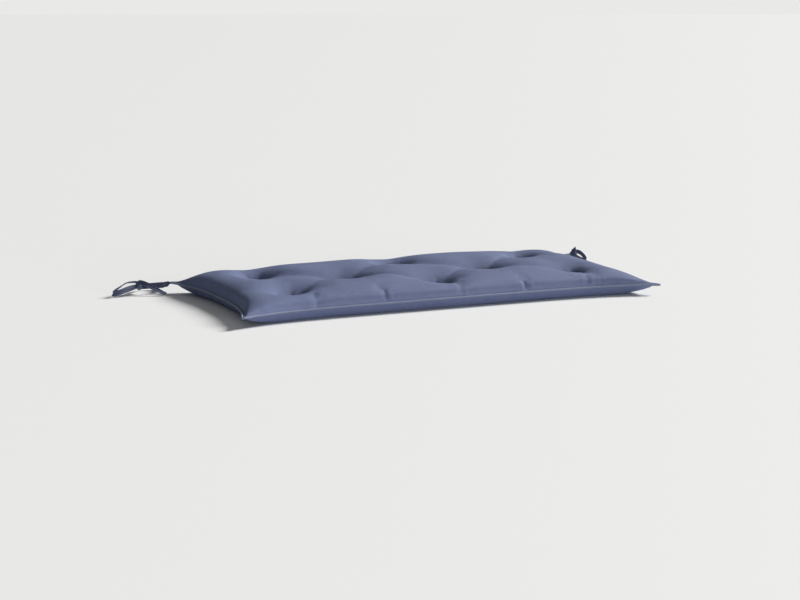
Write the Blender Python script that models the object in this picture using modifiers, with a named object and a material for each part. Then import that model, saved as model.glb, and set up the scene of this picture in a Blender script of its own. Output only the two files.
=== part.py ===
"""Tufted bench cushion, 1 m by 0.5 m, lying flat, with a piped edge and a tape tied in a bow at each back corner.

Metres, +Z up. X runs along its length and +Y towards its back. The origin is the middle of the flat underside.
"""

import math

import bmesh
import bpy
from mathutils import Vector

# ---- driving dimensions ----
LENGTH = 1.0                # between the corner tips, along X
DEPTH = 0.5                 # between the corner tips, along Y
CROWN = 0.0655              # height that the filling would reach without its tufts
SEAM_HEIGHT = 0.0225        # the piped seam above the underside
PIPING_RADIUS = 0.0022
TAPE_WIDTH = 0.013          # the flat tape that the ties are made of
TAPE_THICKNESS = 0.0018
GAP = 0.0006                # between pieces that touch

# ---- the seam line, seen from above ----
LONG_PULL = 0.042           # how far the filling draws in the middle of a long edge
SHORT_PULL = 0.040
LONG_POWER = 5.5            # a high power keeps the pull even, with quick sharp ears at the corners
SHORT_POWER = 2.7
EAR_RADIUS = 0.003          # of the piping's line round the tip of an ear
EAR_STEPS = 4
EAR_CUT = 0.0007            # how much that rounding takes off each end of the pointed outline
HALF_LENGTH = LENGTH / 2 + EAR_CUT
HALF_DEPTH = DEPTH / 2 + EAR_CUT
RIM_INSET = PIPING_RADIUS + GAP
RIM_HALF_HEIGHT = 0.0010    # the body's thin edge behind the piping

# ---- the filling ----
COLUMN_PITCH = 0.17         # between neighbouring columns of tufts
ROW_PITCH = 0.115           # between neighbouring rows of tufts
TUFT_DEPTH = 0.93           # share of the filling's height that a tuft takes away
TUFT_REACH = 0.047          # of the front and middle rows
BACK_TUFT_REACH = 0.036
TUFT_POWER = 1.40           # near 1 is a sharp cone, 2 is a soft bowl
TOP_EDGE = 0.108            # width over which the top rounds down to the seam
TOP_EDGE_POWER = 0.56
UNDER_EDGE = 0.028          # the same for the underside, whose edge is short and steep
UNDER_EDGE_POWER = 0.50
UNDER_TUFT_RISE = 0.009     # how far a tuft lifts the underside
UNDER_TUFT_REACH = 0.032
EAR_REACH = 0.115           # the filling thins out within this distance of a corner's tip
COLUMN_CELLS = (12, 12, 12)  # mesh cells from the middle to the first tufts, to the next, and to the rim
ROW_CELLS = (8, 11)

# x, y and reach of each tuft: three in front, two in the middle and three behind.
TUFTS = [(i * 2 * COLUMN_PITCH, -ROW_PITCH, TUFT_REACH) for i in (-1, 0, 1)]
TUFTS += [(side * COLUMN_PITCH, 0.0, TUFT_REACH) for side in (-1, 1)]
TUFTS += [(i * 2 * COLUMN_PITCH, ROW_PITCH, BACK_TUFT_REACH) for i in (-1, 0, 1)]

# Pull lines, which start at a tuft or at the seam: start x, start y, end x, end y, share of the height, half width.
CREASES = (
    (-0.310, -0.214, -0.324, -0.168, 0.30, 0.009),
    (0.000, -0.115, 0.034, -0.205, 0.32, 0.012),
    (0.340, -0.115, 0.366, -0.200, 0.32, 0.012),
    (-0.160, -0.212, -0.170, -0.165, 0.20, 0.009),
    (0.182, -0.212, 0.170, -0.165, 0.20, 0.009),
    (0.000, 0.115, 0.030, 0.212, 0.07, 0.014),
    (0.340, 0.115, 0.366, 0.212, 0.10, 0.016),
    (-0.340, -0.115, -0.460, -0.085, 0.22, 0.018),
    (0.340, 0.115, 0.460, 0.085, 0.25, 0.020),
)
CREASE_FADE = 0.85          # how much shallower a pull line is at its far end
RISING_VALLEY = 0.09        # depth of the trough between two tufts of which the right one lies further back
FALLING_VALLEY = 0.26       # and where it lies further forward, across the way the filling has slipped
VALLEY_WIDTH = 0.022
VALLEY_REACH = 0.21         # tufts nearer than this have a trough between them

# Uneven filling: x, y, extra height, reach.
LUMPS = (
    (-0.395, -0.155, -0.009, 0.055),
    (-0.195, -0.090, -0.005, 0.055),
    (-0.105, -0.095, 0.003, 0.040),
    (0.150, -0.090, -0.006, 0.060),
    (0.450, -0.170, -0.009, 0.060),
    (-0.430, 0.000, -0.003, 0.090),
    (-0.335, 0.045, -0.016, 0.070),
    (-0.245, 0.000, -0.005, 0.050),
    (0.050, 0.030, -0.005, 0.050),
    (0.300, 0.045, -0.008, 0.060),
    (-0.425, 0.160, -0.005, 0.060),
    (-0.340, 0.180, -0.004, 0.050),
    (-0.190, 0.145, -0.003, 0.080),
    (0.000, 0.185, 0.003, 0.050),
    (0.240, 0.140, -0.003, 0.050),
    (0.410, 0.160, -0.007, 0.060),
)

# ---- the ties: two runs of tape from each back corner, round an open space to a knot ----
# Each row is a point of a tape's middle line: x outwards and y backwards from the corner's tip, its height above the
# surface, and the tape's turn in degrees, where 0 stands on its edge and 90 lies flat.
FRONT_TAPE = (
    (0.0026, 0.0000, 0.0220, 80),
    (0.0075, -0.0020, 0.0205, 45),
    (0.0150, -0.0050, 0.0195, 14),
    (0.0300, -0.0065, 0.0195, 4),
    (0.0470, -0.0050, 0.0190, 0),
    (0.0640, 0.0030, 0.0190, 0),
)
BACK_TAPE = (
    (0.0030, 0.0012, 0.0210, 85),
    (0.0085, 0.0065, 0.0185, 55),
    (0.0100, 0.0200, 0.0140, 15),
    (0.0120, 0.0350, 0.0110, 0),
    (0.0240, 0.0450, 0.0095, 0),
    (0.0470, 0.0450, 0.0095, 0),
    (0.0620, 0.0340, 0.0125, 0),
    (0.0670, 0.0180, 0.0170, 0),
)
LEFT_BOW = (
    (0.0670, 0.0110, 0.0260, 45),
    (0.0810, 0.0080, 0.0275, 72),
    (0.1010, 0.0010, 0.0270, 78),
    (0.1190, -0.0080, 0.0180, 64),
    (0.1320, -0.0160, 0.0083, 40),
)
LEFT_BOW_RETURN = (
    (0.1315, -0.0200, 0.0074, 18),
    (0.1190, -0.0190, 0.0108, 6),
    (0.1020, -0.0130, 0.0150, 0),
    (0.0830, -0.0050, 0.0182, 0),
    (0.0680, 0.0020, 0.0180, 0),
)
LEFT_TAIL = (
    (0.0710, 0.0020, 0.0285, 30),
    (0.0600, -0.0100, 0.0245, 48),
    (0.0460, -0.0220, 0.0170, 60),
    (0.0330, -0.0340, 0.0095, 72),
    (0.0220, -0.0430, 0.0036, 80),
)
RIGHT_BOW = (
    (0.0700, 0.0080, 0.0240, 10),
    (0.0800, 0.0060, 0.0275, 22),
    (0.0880, 0.0020, 0.0240, 30),
    (0.0945, -0.0040, 0.0160, 28),
    (0.0970, -0.0100, 0.0085, 20),
)
RIGHT_BOW_RETURN = (
    (0.0955, -0.0135, 0.0074, 18),
    (0.0890, -0.0110, 0.0084, 50),
    (0.0820, -0.0060, 0.0110, 66),
    (0.0760, 0.0000, 0.0150, 60),
    (0.0700, 0.0040, 0.0175, 30),
)
RIGHT_TAIL = (
    (0.0705, 0.0010, 0.0220, 10),
    (0.0740, 0.0100, 0.0285, 15),
    (0.0785, 0.0210, 0.0260, 40),
    (0.0860, 0.0340, 0.0145, 65),
    (0.0930, 0.0480, 0.0040, 78),
)
ROOT_SHARE = 0.7            # the tape's width where it is gathered into the corner, as a share of the whole
CURVE_STEPS = 3             # mesh steps between two points of a tape
KNOT_PLACE = Vector((0.0690, 0.0060, 0.0190))
KNOT_RADII = (0.0095, 0.0120, 0.0100)
KNOT_TURN_RADIUS = 0.0080   # the turn of tape round the knot's waist, and its own half thickness
KNOT_TURN_THICKNESS = 0.0022
KNOT_TURN_STRETCH = (1.0, 1.2, 1.6)  # across, and along the width of the tape
KNOT_TURN_LEAN = 18         # degrees
SHARP_ANGLE = 40            # degrees: a tape's edges stay crisp
FLAT_ANGLE = 0.5            # degrees: faces flatter than this against each other are joined

NAVY = (0.105, 0.125, 0.215)
PALE_NAVY = (0.130, 0.150, 0.240)
DARK_NAVY = (0.065, 0.075, 0.150)


def clear_scene():
    for old in list(bpy.data.objects):
        bpy.data.objects.remove(old, do_unlink=True)


def new_collection(name, rendered=True):
    made = bpy.data.collections.new(name)
    bpy.context.scene.collection.children.link(made)
    made.hide_render = not rendered
    return made


def new_cloth(name, colour, roughness):
    made = bpy.data.materials.new(name)
    made.use_nodes = True
    shader = made.node_tree.nodes["Principled BSDF"]
    shader.inputs["Base Color"].default_value = (*colour, 1.0)
    shader.inputs["Roughness"].default_value = roughness
    shader.inputs["Metallic"].default_value = 0.0
    return made


def new_object(name, data, holder, material=None):
    made = bpy.data.objects.new(name, data)
    holder.objects.link(made)
    if material:
        data.materials.clear()
        data.materials.append(material)
    return made


# ---- the seam line ----


def long_edge(u):
    """The seam's point on the back edge, for u from -1 to 1 between the corners."""
    return Vector((u * HALF_LENGTH, HALF_DEPTH - LONG_PULL * (1 - abs(u) ** LONG_POWER)))


def short_edge(v):
    """The seam's point on the right edge, for v from -1 to 1 between the corners."""
    return Vector((HALF_LENGTH - SHORT_PULL * (1 - abs(v) ** SHORT_POWER), v * HALF_DEPTH))


def inset(edge, t):
    """The edge's point at t, moved in towards the body to leave room for the piping."""
    step = 1e-4
    tangent = (edge(t + step) - edge(t - step)).normalized()
    normal = Vector((-tangent.y, tangent.x))
    if normal.dot(edge(t)) > 0:
        normal.negate()
    return edge(t) + normal * RIM_INSET


def ear():
    """The rounded tip of the back right corner: the middle of its arc, the way it points, and half its sweep."""
    near_tip = 0.98
    along_back = (long_edge(near_tip) - long_edge(1.0)).normalized()
    along_side = (short_edge(near_tip) - short_edge(1.0)).normalized()
    half_angle = along_back.angle(along_side) / 2
    inwards = (along_back + along_side).normalized()
    middle = long_edge(1.0) + inwards * (EAR_RADIUS / math.sin(half_angle))
    return middle, -inwards, math.pi / 2 - half_angle


def mirrored(points, x_sign, y_sign):
    """The points in another corner's quarter. One flip turns their order round too, so that all still run one way."""
    flipped = [Vector((p.x * x_sign, p.y * y_sign)) for p in points]
    return flipped if x_sign == y_sign else flipped[::-1]


def piping_line(us, vs):
    """The closed line down the middle of the piping, anticlockwise, with a point at each cell of the body's rim."""
    middle, outwards, sweep = ear()
    heading = math.atan2(outwards.y, outwards.x)
    tip = []
    for k in range(EAR_STEPS + 1):
        angle = heading + sweep * (2 * k / EAR_STEPS - 1)
        tip.append(middle + Vector((math.cos(angle), math.sin(angle))) * EAR_RADIUS)
    side = [short_edge(v) for v in vs[1:-1]]
    back = [long_edge(u) for u in reversed(us[1:-1])]
    line = side + tip + back + mirrored(tip, -1, 1)
    line += mirrored(side, -1, -1) + mirrored(tip, -1, -1) + mirrored(back, -1, -1) + mirrored(tip, 1, -1)
    return line


# ---- the body ----


def fractions(cells, stops):
    """Fractions of a half side from -1 to 1, with a line through each stop on either side of the middle."""
    half = [0.0]
    for count, low, high in zip(cells, stops, stops[1:]):
        half += [low + (high - low) * (k + 1) / count for k in range(count)]
    return [-t for t in reversed(half[1:])] + half


def plan_point(u, v, corner):
    """A point of the plan, blended between the four drawn-in edges. corner is the body's own back right tip."""
    back = inset(long_edge, u) if abs(u) < 1 else Vector((corner.x * u, corner.y))
    side = inset(short_edge, v) if abs(v) < 1 else Vector((corner.x, corner.y * v))
    return Vector((back.x + (side.x - corner.x) * u, side.y + (back.y - corner.y) * v))


def rounded(inside, width, power):
    """0 on the edge and 1 from one width inside it, rounded like a stuffed edge."""
    t = min(max(inside / width, 0.0), 1.0)
    return (1 - (1 - t) ** 2) ** power


def from_line(x, y, x0, y0, x1, y1):
    """How far a point is from a straight stretch, and how far along it, from 0 to 1."""
    dx = x1 - x0
    dy = y1 - y0
    along = min(max(((x - x0) * dx + (y - y0) * dy) / (dx * dx + dy * dy), 0.0), 1.0)
    return math.hypot(x - x0 - along * dx, y - y0 - along * dy), along


def dip(away, depth, width, power=2.0):
    """What is left of the height beside a trough or a tuft."""
    return 1 - depth * math.exp(-((away / width) ** power))


def valleys():
    """The trough between each two neighbouring tufts, and its depth."""
    for k, (x0, y0, _) in enumerate(TUFTS):
        for x1, y1, _ in TUFTS[k + 1:]:
            if math.hypot(x1 - x0, y1 - y0) < VALLEY_REACH:
                depth = RISING_VALLEY if (x1 - x0) * (y1 - y0) > 0 else FALLING_VALLEY
                yield x0, y0, x1, y1, depth


def filled(x, y, u, v, width, power):
    """How full the cushion is at a point, from 0 at the seam and the tips of the ears to 1."""
    to_tip = math.hypot(HALF_LENGTH - abs(x), HALF_DEPTH - abs(y)) / EAR_REACH
    ears = math.sin(math.pi / 2 * min(to_tip, 1.0))
    sides = rounded((1 - abs(u)) * HALF_LENGTH, width, power)
    return ears * sides * rounded((1 - abs(v)) * HALF_DEPTH, width, power)


def top_height(x, y, u, v):
    full = CROWN - SEAM_HEIGHT
    for lump_x, lump_y, rise, reach in LUMPS:
        full += rise * math.exp(-((x - lump_x) ** 2 + (y - lump_y) ** 2) / reach ** 2)
    for tuft_x, tuft_y, reach in TUFTS:
        full *= dip(math.hypot(x - tuft_x, y - tuft_y), TUFT_DEPTH, reach, TUFT_POWER)
    for x0, y0, x1, y1, depth in valleys():
        full *= dip(from_line(x, y, x0, y0, x1, y1)[0], depth, VALLEY_WIDTH)
    for x0, y0, x1, y1, depth, width in CREASES:
        away, along = from_line(x, y, x0, y0, x1, y1)
        full *= dip(away, depth * (1 - CREASE_FADE * along), width)
    return SEAM_HEIGHT + RIM_HALF_HEIGHT + full * filled(x, y, u, v, TOP_EDGE, TOP_EDGE_POWER)


def under_height(x, y, u, v):
    height = (SEAM_HEIGHT - RIM_HALF_HEIGHT) * (1 - filled(x, y, u, v, UNDER_EDGE, UNDER_EDGE_POWER))
    for tuft_x, tuft_y, _ in TUFTS:
        near = 1 - math.hypot(x - tuft_x, y - tuft_y) / UNDER_TUFT_REACH
        height += UNDER_TUFT_RISE * max(near, 0.0) ** 2
    return height


def add_panel(mesh, us, vs, corner, height):
    """One panel of cloth: a grid with each point moved to its place in the plan and to its height."""
    made = bmesh.ops.create_grid(mesh, x_segments=len(us) - 1, y_segments=len(vs) - 1, size=1.0)
    for vertex in made["verts"]:
        u = us[round((vertex.co.x + 1) / 2 * (len(us) - 1))]
        v = vs[round((vertex.co.y + 1) / 2 * (len(vs) - 1))]
        place = plan_point(u, v, corner)
        vertex.co = (place.x, place.y, height(place.x, place.y, u, v))
    return made["verts"]


def build_body(parts, us, vs, material):
    """The filled body: two panels joined by the thin rim behind the piping, and flat where it lies."""
    middle, outwards, _ = ear()
    corner = middle + outwards * max(EAR_RADIUS - RIM_INSET, 0.0)
    mesh = bmesh.new()
    add_panel(mesh, us, vs, corner, top_height)
    add_panel(mesh, us, vs, corner, under_height)
    bmesh.ops.bridge_loops(mesh, edges=[edge for edge in mesh.edges if edge.is_boundary])
    bmesh.ops.recalc_face_normals(mesh, faces=mesh.faces)
    data = bpy.data.meshes.new("cushion_body")
    mesh.to_mesh(data)
    mesh.free()
    data.shade_smooth()
    body = new_object("cushion_body", data, parts, material)
    flat = body.modifiers.new("flat_underside", "DECIMATE")
    flat.decimate_type = "DISSOLVE"
    flat.angle_limit = math.radians(FLAT_ANGLE)
    return body


def build_piping(parts, us, vs, material):
    line = piping_line(us, vs)
    curve = bpy.data.curves.new("edge_piping", "CURVE")
    curve.dimensions = "3D"
    curve.bevel_depth = PIPING_RADIUS
    curve.bevel_resolution = 2
    spline = curve.splines.new("POLY")
    spline.points.add(len(line) - 1)
    for point, place in zip(spline.points, line):
        point.co = (place.x, place.y, SEAM_HEIGHT, 1.0)
    spline.use_cyclic_u = True
    return new_object("edge_piping", curve, parts, material)


# ---- the ties ----


def solid_copy(source, guides):
    """A guide with the mesh that another object evaluates to. The other object goes."""
    bpy.context.view_layer.update()
    graph = bpy.context.evaluated_depsgraph_get()
    made = new_object(source.name + "_solid", bpy.data.meshes.new_from_object(source.evaluated_get(graph)), guides)
    made.hide_render = True
    made.display_type = "WIRE"
    bpy.data.objects.remove(source)
    return made


def tape(name, guides, rows, root_share=1.0):
    """A flat tape along its rows: an extruded curve, turned at each point, that Solidify gives its thickness."""
    curve = bpy.data.curves.new(name, "CURVE")
    curve.dimensions = "3D"
    curve.twist_mode = "Z_UP"
    curve.resolution_u = CURVE_STEPS
    curve.extrude = (TAPE_WIDTH - TAPE_THICKNESS) / 2
    spline = curve.splines.new("BEZIER")
    spline.bezier_points.add(len(rows) - 1)
    for point, (x, y, z, turn) in zip(spline.bezier_points, rows):
        point.co = (x, y, z)
        point.handle_left_type = "AUTO"
        point.handle_right_type = "AUTO"
        point.tilt = math.radians(turn)
    spline.bezier_points[0].radius = root_share
    ribbon = solid_copy(new_object(name, curve, guides), guides)
    thickness = ribbon.modifiers.new("thickness", "SOLIDIFY")
    thickness.thickness = TAPE_THICKNESS
    thickness.offset = 0.0
    return solid_copy(ribbon, guides)


def knot_core(guides):
    """The lump of tape inside the knot."""
    mesh = bmesh.new()
    bmesh.ops.create_uvsphere(mesh, u_segments=14, v_segments=9, radius=1.0)
    bmesh.ops.scale(mesh, vec=KNOT_RADII, verts=mesh.verts)
    bmesh.ops.translate(mesh, vec=KNOT_PLACE, verts=mesh.verts)
    data = bpy.data.meshes.new("knot_core")
    mesh.to_mesh(data)
    mesh.free()
    return solid_copy(new_object("knot_core", data, guides), guides)


def knot_turn(guides):
    """The turn of tape round the knot's waist, upright and a little askew."""
    bpy.ops.mesh.primitive_torus_add(
        major_segments=18,
        minor_segments=8,
        major_radius=KNOT_TURN_RADIUS - KNOT_TURN_THICKNESS / 2,
        minor_radius=KNOT_TURN_THICKNESS,
    )
    turn = bpy.context.object
    turn.scale = KNOT_TURN_STRETCH
    turn.rotation_euler = (0.0, math.radians(90), math.radians(KNOT_TURN_LEAN))
    turn.location = KNOT_PLACE
    bpy.ops.object.transform_apply(location=True, rotation=True, scale=True)
    return solid_copy(turn, guides)


def build_tie(name, parts, guides, side, tip, loose_tapes, material):
    """Two runs of tape round an open space, a knot, a bow's loop and a loose end, joined into one solid."""
    rooted = (("front", FRONT_TAPE), ("back", BACK_TAPE))
    pieces = [knot_core(guides), knot_turn(guides)]
    pieces += [tape(f"{name}_{place}", guides, rows, ROOT_SHARE) for place, rows in rooted]
    pieces += [tape(f"{name}_{place}", guides, rows) for place, rows in loose_tapes]
    whole = new_object(name + "_whole", pieces[0].data.copy(), guides)
    for piece in pieces[1:]:
        join = whole.modifiers.new(piece.name, "BOOLEAN")
        join.operation = "UNION"
        join.object = piece
    joined = solid_copy(whole, guides)
    for piece in pieces:
        bpy.data.objects.remove(piece)
    data = joined.data
    bpy.data.objects.remove(joined)
    for vertex in data.vertices:
        vertex.co = (side * (tip.x + vertex.co.x), tip.y + vertex.co.y, vertex.co.z)
    if side < 0:
        data.flip_normals()
    data.shade_smooth()
    data.set_sharp_from_angle(angle=math.radians(SHARP_ANGLE))
    return new_object(name, data, parts, material)


def main():
    clear_scene()
    parts = new_collection("bench_cushion")
    guides = new_collection("guides", rendered=False)
    us = fractions(COLUMN_CELLS, (0.0, COLUMN_PITCH / HALF_LENGTH, 2 * COLUMN_PITCH / HALF_LENGTH, 1.0))
    vs = fractions(ROW_CELLS, (0.0, ROW_PITCH / HALF_DEPTH, 1.0))
    build_body(parts, us, vs, new_cloth("fabric", NAVY, 0.85))
    build_piping(parts, us, vs, new_cloth("piping_fabric", PALE_NAVY, 0.80))

    middle, outwards, _ = ear()
    tip = middle + outwards * (EAR_RADIUS + PIPING_RADIUS + GAP)
    tie_fabric = new_cloth("tie_fabric", DARK_NAVY, 0.85)
    left = (("bow", LEFT_BOW), ("return", LEFT_BOW_RETURN), ("tail", LEFT_TAIL))
    right = (("bow", RIGHT_BOW), ("return", RIGHT_BOW_RETURN), ("tail", RIGHT_TAIL))
    build_tie("tie_left", parts, guides, -1, tip, left, tie_fabric)
    build_tie("tie_right", parts, guides, 1, tip, right, tie_fabric)


main()
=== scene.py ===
import math

import bmesh
import bpy
import numpy as np
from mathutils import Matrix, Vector
from mathutils.bvhtree import BVHTree


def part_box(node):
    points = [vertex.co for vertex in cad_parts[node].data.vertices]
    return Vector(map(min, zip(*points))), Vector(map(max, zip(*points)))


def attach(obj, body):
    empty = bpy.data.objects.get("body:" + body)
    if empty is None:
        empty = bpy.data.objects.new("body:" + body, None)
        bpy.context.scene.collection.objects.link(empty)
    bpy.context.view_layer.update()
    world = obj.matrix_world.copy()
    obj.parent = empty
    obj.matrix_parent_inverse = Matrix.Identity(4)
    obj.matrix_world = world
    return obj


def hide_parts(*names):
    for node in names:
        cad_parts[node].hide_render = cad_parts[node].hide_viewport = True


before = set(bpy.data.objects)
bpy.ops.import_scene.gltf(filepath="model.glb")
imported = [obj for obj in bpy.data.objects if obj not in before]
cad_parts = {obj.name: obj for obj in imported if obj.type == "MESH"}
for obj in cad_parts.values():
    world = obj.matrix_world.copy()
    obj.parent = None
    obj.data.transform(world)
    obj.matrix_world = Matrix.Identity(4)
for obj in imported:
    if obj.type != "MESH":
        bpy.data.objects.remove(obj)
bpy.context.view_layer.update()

scene = bpy.context.scene
scene.view_settings.view_transform = "Standard"
print("frame loaded")


# camera, where the photo was taken from

view = {
    "place": (-1.5826, -3.3536, 0.6294),
    "heading": 24.77,       # degrees to the right of +Y
    "down": 9.86,
    "lens": 74.565,
}

bpy.ops.object.select_all(action="DESELECT")
bpy.ops.object.camera_add(
    location=view["place"],
    rotation=(math.radians(90 - view["down"]), 0, math.radians(-view["heading"])),
)
camera = bpy.context.object
camera.name = "camera"
camera.data.lens = view["lens"]
camera.data.sensor_width = 36
camera.data.clip_end = 1000
scene.camera = camera


# small helpers

def activate(obj):
    bpy.ops.object.select_all(action="DESELECT")
    obj.select_set(True)
    bpy.context.view_layer.objects.active = obj


def applyModifier(obj, modifier):
    activate(obj)
    bpy.ops.object.modifier_apply(modifier=modifier.name)


def settle(obj):
    # the place goes into the mesh, as on a CAD node
    activate(obj)
    bpy.ops.object.transform_apply(location=True, rotation=True, scale=True)


def joinAll(objs, name):
    bpy.ops.object.select_all(action="DESELECT")
    for obj in objs:
        obj.select_set(True)
    bpy.context.view_layer.objects.active = objs[0]
    if len(objs) > 1:
        bpy.ops.object.join()
    joined = bpy.context.object
    joined.name = name
    joined.data.name = name
    return joined


def fixNormals(obj, merge=0.00002):
    activate(obj)
    bpy.ops.object.mode_set(mode="EDIT")
    bpy.ops.mesh.select_all(action="SELECT")
    bpy.ops.mesh.remove_doubles(threshold=merge)
    bpy.ops.mesh.normals_make_consistent(inside=False)
    bpy.ops.object.mode_set(mode="OBJECT")


def setFloats(obj, name, values):
    made = obj.data.attributes.new(name, "FLOAT", "POINT")
    made.data.foreach_set("value", values)


def points(obj):
    found = np.empty(len(obj.data.vertices) * 3)
    obj.data.vertices.foreach_get("co", found)
    return found.reshape(-1, 3)


def smoothStep(t):
    t = min(max(t, 0.0), 1.0)
    return t * t * (3 - 2 * t)


def fromLine(x, y, start, end):
    # distance to the line, and how far along it as a share
    x0, y0 = start
    dx, dy = end[0] - x0, end[1] - y0
    along = min(max(((x - x0) * dx + (y - y0) * dy) / (dx * dx + dy * dy), 0.0), 1.0)
    return math.hypot(x - x0 - along * dx, y - y0 - along * dy), along


# node groups that the materials share

def newGroup(name, inputs, outputs):
    group = bpy.data.node_groups.new(name, "ShaderNodeTree")
    for label, kind, value in inputs:
        socket = group.interface.new_socket(name=label, in_out="INPUT", socket_type=kind)
        if value is not None:
            socket.default_value = value
    for label, kind in outputs:
        group.interface.new_socket(name=label, in_out="OUTPUT", socket_type=kind)
    return group, group.nodes.new("NodeGroupInput"), group.nodes.new("NodeGroupOutput")


def mathNode(tree, operation, first, second=None, third=None):
    node = tree.nodes.new("ShaderNodeMath")
    node.operation = operation
    for socket, value in zip(node.inputs, (first, second, third)):
        if value is None:
            continue
        if isinstance(value, (int, float)):
            socket.default_value = value
        else:
            tree.links.new(value, socket)
    return node.outputs[0]


def mapRange(tree, value, low, high, newLow, newHigh):
    node = tree.nodes.new("ShaderNodeMapRange")
    tree.links.new(value, node.inputs["Value"])
    for label, number in (("From Min", low), ("From Max", high), ("To Min", newLow), ("To Max", newHigh)):
        node.inputs[label].default_value = number
    return node.outputs["Result"]


def noiseNode(tree, vector, scale, detail=2.0, roughness=0.5):
    node = tree.nodes.new("ShaderNodeTexNoise")
    tree.links.new(vector, node.inputs["Vector"])
    if isinstance(scale, (int, float)):
        node.inputs["Scale"].default_value = scale
    else:
        tree.links.new(scale, node.inputs["Scale"])
    node.inputs["Detail"].default_value = detail
    node.inputs["Roughness"].default_value = roughness
    return node.outputs["Fac"]


def stretched(tree, vector, factors):
    node = tree.nodes.new("ShaderNodeVectorMath")
    node.operation = "MULTIPLY"
    tree.links.new(vector, node.inputs[0])
    node.inputs[1].default_value = factors
    return node.outputs[0]


weaving = {
    "slubsAcross": 900.0,       # per metre
    "slubsAlong": 40.0,
    "slubHeight": 0.5,
}


def makeWeave():
    # plain weave: warp and weft threads that take turns on top, with slubs
    group, inside, out = newGroup(
        "weave",
        [("Vector", "NodeSocketVector", None), ("Threads per metre", "NodeSocketFloat", 1600.0)],
        [("Height", "NodeSocketFloat"), ("Thread", "NodeSocketFloat")],
    )
    threads = group.nodes.new("ShaderNodeVectorMath")
    threads.operation = "SCALE"
    group.links.new(inside.outputs["Vector"], threads.inputs[0])
    group.links.new(inside.outputs["Threads per metre"], threads.inputs["Scale"])
    axes = group.nodes.new("ShaderNodeSeparateXYZ")
    group.links.new(threads.outputs[0], axes.inputs[0])
    waves = []
    for axis in ("X", "Y"):
        turn = mathNode(group, "MULTIPLY", axes.outputs[axis], math.pi)
        wave = mathNode(group, "SINE", turn)
        waves.append((mathNode(group, "ABSOLUTE", wave), wave))
    product = mathNode(group, "MULTIPLY", waves[0][1], waves[1][1])
    onTop = mathNode(group, "GREATER_THAN", product, 0.0)
    mix = group.nodes.new("ShaderNodeMix")
    mix.data_type = "FLOAT"
    group.links.new(onTop, mix.inputs["Factor"])
    group.links.new(waves[0][0], mix.inputs["A"])
    group.links.new(waves[1][0], mix.inputs["B"])
    across, along = weaving["slubsAcross"], weaving["slubsAlong"]
    warpSlub = noiseNode(group, stretched(group, inside.outputs["Vector"], (across, along, 1.0)), 1.0)
    weftSlub = noiseNode(group, stretched(group, inside.outputs["Vector"], (along, across, 1.0)), 1.0)
    uneven = mathNode(group, "ADD", warpSlub, weftSlub)
    height = mathNode(group, "MULTIPLY_ADD", uneven, weaving["slubHeight"], mix.outputs["Result"])
    group.links.new(height, out.inputs["Height"])
    group.links.new(uneven, out.inputs["Thread"])
    return group


wornPatches = {
    "broad": 5.0,               # scale of the large blotches
    "fine": 60.0,
    "amount": 0.16,
    "darkThread": -0.05,
    "paleThread": 0.07,
    # the least that a patch keeps of the wear and of the painted highlight
    "leastWearAndHighlight": 0.35,
}


def makeFadingAndHighlight():
    # broad, soft colour changes: sun, handling and the dye's own unevenness; through the wear input it also
    # paints the highlight on the body's crests and on the piping's upper half
    group, inside, out = newGroup(
        "fadingAndHighlight",
        [
            ("Vector", "NodeSocketVector", None),
            ("Colour", "NodeSocketColor", (0.1, 0.12, 0.2, 1.0)),
            ("Faded colour", "NodeSocketColor", (0.2, 0.22, 0.3, 1.0)),
            ("WearAndHighlight", "NodeSocketFloat", 0.0),
            ("Thread", "NodeSocketFloat", 1.0),
        ],
        [("Colour", "NodeSocketColor"), ("Mask", "NodeSocketFloat")],
    )
    broad = noiseNode(group, inside.outputs["Vector"], wornPatches["broad"], 3.0)
    fine = noiseNode(group, inside.outputs["Vector"], wornPatches["fine"], 4.0, 0.6)
    both = mathNode(group, "MULTIPLY_ADD", fine, 0.5, broad)
    blotch = mapRange(group, both, 0.6, 0.95, 0.0, wornPatches["amount"])
    dark, pale = wornPatches["darkThread"], wornPatches["paleThread"]
    threads = mapRange(group, inside.outputs["Thread"], 0.7, 1.3, dark, pale)
    patchy = mapRange(group, fine, 0.3, 0.7, wornPatches["leastWearAndHighlight"], 1.0)
    # wear, and the painted highlight that shares its attribute, broken into patches
    rubbed = mathNode(group, "MULTIPLY", inside.outputs["WearAndHighlight"], patchy)
    mask = mathNode(group, "ADD", mathNode(group, "ADD", blotch, threads), rubbed)
    mask = mathNode(group, "MINIMUM", mathNode(group, "MAXIMUM", mask, 0.0), 1.0)
    mix = group.nodes.new("ShaderNodeMix")
    mix.data_type = "RGBA"
    group.links.new(mask, mix.inputs["Factor"])
    group.links.new(inside.outputs["Colour"], mix.inputs[6])
    group.links.new(inside.outputs["Faded colour"], mix.inputs[7])
    group.links.new(mix.outputs[2], out.inputs["Colour"])
    group.links.new(mask, out.inputs["Mask"])
    return group


rumpling = {
    "alongY": 0.35,             # less makes the soft ridges run longer along Y
    "ridgeSoftness": 0.0025,
}


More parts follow.
